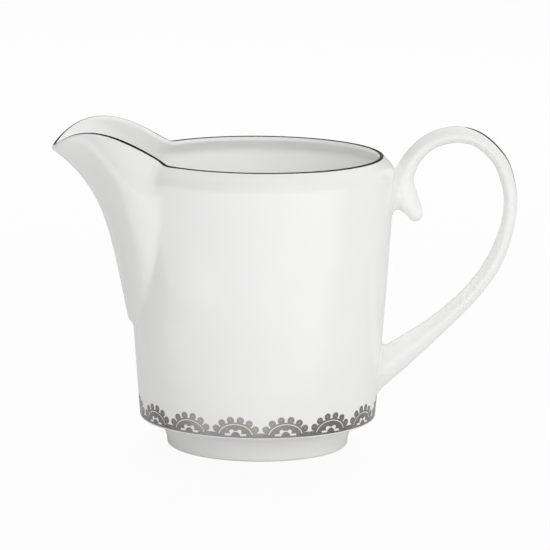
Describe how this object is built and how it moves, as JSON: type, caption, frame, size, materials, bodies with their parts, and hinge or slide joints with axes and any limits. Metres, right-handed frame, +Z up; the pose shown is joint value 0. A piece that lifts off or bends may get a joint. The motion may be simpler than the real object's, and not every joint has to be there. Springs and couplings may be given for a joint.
{
  "type": "porcelain cream jug",
  "caption": "Small round porcelain cream jug with a broad pouring spout, a looped handle with a thumb spur, a foot ring, and fired platinum lines and lace border.",
  "frame": {"origin": "centre of the foot ring, on the surface the jug stands on", "axes": "+Z up along the axis of the body, -X towards the spout, +X towards the handle; the jug is symmetric across the XZ plane but for the turn of its lace border"},
  "size_m": [0.1392, 0.0808, 0.097],
  "materials": {
    "porcelain": "clear gloss glaze on white bone china",
    "platinum": "fired platinum, bright"
  },
  "bodies": {
    "root": {"vessel": "porcelain", "foot_ring": "porcelain", "spout": "porcelain", "handle": "porcelain", "spout_seam": "porcelain", "handle_upper_seam": "porcelain", "handle_lower_seam": "porcelain", "rim_line": "platinum", "spout_line": "platinum", "handle_line": "platinum", "lace_base_line": "platinum", "lace_motif_01": "platinum", "lace_motif_02": "platinum", "lace_motif_03": "platinum", "lace_motif_04": "platinum", "lace_motif_05": "platinum", "lace_motif_06": "platinum", "lace_motif_07": "platinum", "lace_motif_08": "platinum", "lace_motif_09": "platinum", "lace_motif_10": "platinum", "lace_motif_11": "platinum", "lace_motif_12": "platinum", "lace_motif_13": "platinum", "lace_motif_14": "platinum", "lace_motif_15": "platinum"}
  },
  "joints": []
}
